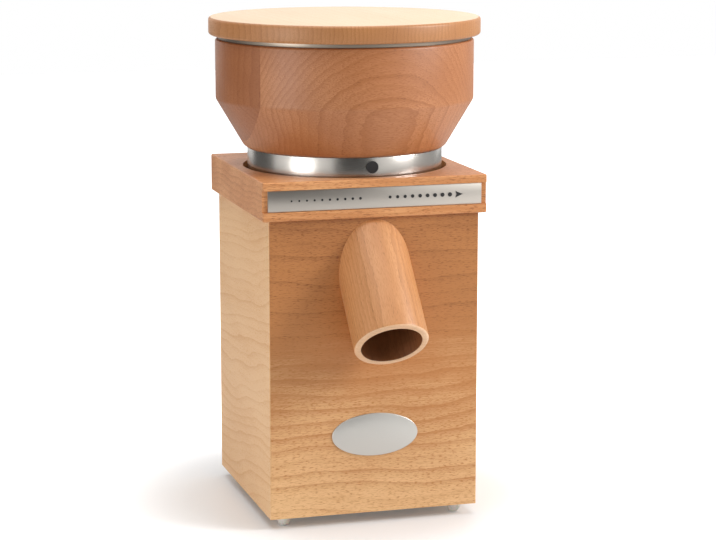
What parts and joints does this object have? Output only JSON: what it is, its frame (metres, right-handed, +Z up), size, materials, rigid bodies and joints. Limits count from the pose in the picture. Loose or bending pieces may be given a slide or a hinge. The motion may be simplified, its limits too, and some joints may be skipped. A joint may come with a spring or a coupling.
{
  "type": "electric grain mill",
  "caption": "Electric grain mill: square beech case on feet, sloping spout at the front, steel-ringed screw-down hopper with a lid, stones and motor inside.",
  "frame": {"origin": "the mill's vertical axis at the level of the surface that the feet stand on", "axes": "+Z up along the axis of the stones, hopper and motor; -Y towards the spout, the front; +X to the right seen from the front"},
  "size_m": [0.1806, 0.2164, 0.328],
  "materials": {
    "beech_case": "oiled beech, vertical and wavy horizontal grain",
    "beech_collar": "oiled beech",
    "beech_hopper": "oiled beech, turned from glued blocks",
    "beech_lid": "oiled pale beech",
    "beech_spout": "oiled beech, turned",
    "plywood": "birch plywood",
    "brushed_steel": "brushed stainless steel",
    "turned_steel": "machined steel",
    "zinc_screws": "zinc-plated steel",
    "cast_aluminium": "cast, satin",
    "laminations": "stacked sheet steel",
    "copper_wire": "lacquered copper wire",
    "black_plastic": "moulded black plastic",
    "pale_plastic": "moulded pale plastic",
    "clear_rubber": "soft translucent rubber",
    "felt": "pressed wool felt",
    "ceramic_stone": "corundum in a ceramic bond, matt",
    "capacitor_can": "drawn can"
  },
  "bodies": {
    "housing": {"front_panel": "beech_case", "left_panel": "beech_case", "right_panel": "beech_case", "back_panel": "beech_case", "collar": "beech_collar", "scale_plate": "brushed_steel", "badge_plate": "brushed_steel", "outlet_spout": "beech_spout", "base_plate": "plywood", "rubber_feet": "clear_rubber", "base_cleats": "plywood", "base_screws": "zinc_screws", "milling_chamber": "cast_aluminium", "chamber_screws": "zinc_screws", "motor_screws": "zinc_screws", "shaft_seal": "felt", "upper_end_shield": "cast_aluminium", "lower_end_shield": "cast_aluminium", "stator_core": "laminations", "tie_bolts": "zinc_screws", "stator_windings": "copper_wire", "upper_bearing": "turned_steel", "lower_bearing": "turned_steel", "carrier_springs": "turned_steel", "switch_body": "black_plastic", "cable_gland": "black_plastic", "gland_nut": "black_plastic", "motor_capacitor": "capacitor_can", "capacitor_clip": "turned_steel", "terminal_block": "pale_plastic"},
    "stone_holder": {"stone_carrier": "pale_plastic", "upper_stone": "ceramic_stone"},
    "hopper": {"hopper_base": "black_plastic", "hopper_ring": "brushed_steel", "pointer_dot": "black_plastic", "hopper_bowl": "beech_hopper", "hopper_screws": "zinc_screws"},
    "lid": {"lid": "beech_lid", "lid_band": "brushed_steel"},
    "mill_rotor": {"motor_shaft": "turned_steel", "rotor_core": "laminations", "cooling_fan": "black_plastic", "stone_hub": "cast_aluminium", "lower_stone": "ceramic_stone", "cap_nut": "turned_steel"},
    "rocker": {"switch_rocker": "black_plastic"}
  },
  "joints": [
    {"name": "stone_gap", "type": "slide", "parent": "housing", "child": "stone_holder", "axis": [0, 0, 1], "range_m": [-0.00032, 0.00032], "deforming": ["carrier_springs"]},
    {"name": "grind_adjust", "type": "hinge", "parent": "stone_holder", "child": "hopper", "pos_m": [0, 0, 0.235], "axis": [0, 0, 1], "range_deg": [-57, 57]},
    {"name": "lid_lift", "type": "slide", "parent": "hopper", "child": "lid", "axis": [0, 0, 1], "range_m": [0, 0.09]},
    {"name": "mill_spin", "type": "hinge", "parent": "housing", "child": "mill_rotor", "pos_m": [0, 0, 0.12], "axis": [0, 0, 1], "continuous": true},
    {"name": "switch_rock", "type": "hinge", "parent": "housing", "child": "rocker", "pos_m": [0.032, 0.071, 0.042], "axis": [1, 0, 0], "range_deg": [0, 20]}
  ],
  "couplings": [
    {"joint": "stone_gap", "follows": "grind_adjust", "m_per_rad": 0.0003183}
  ]
}
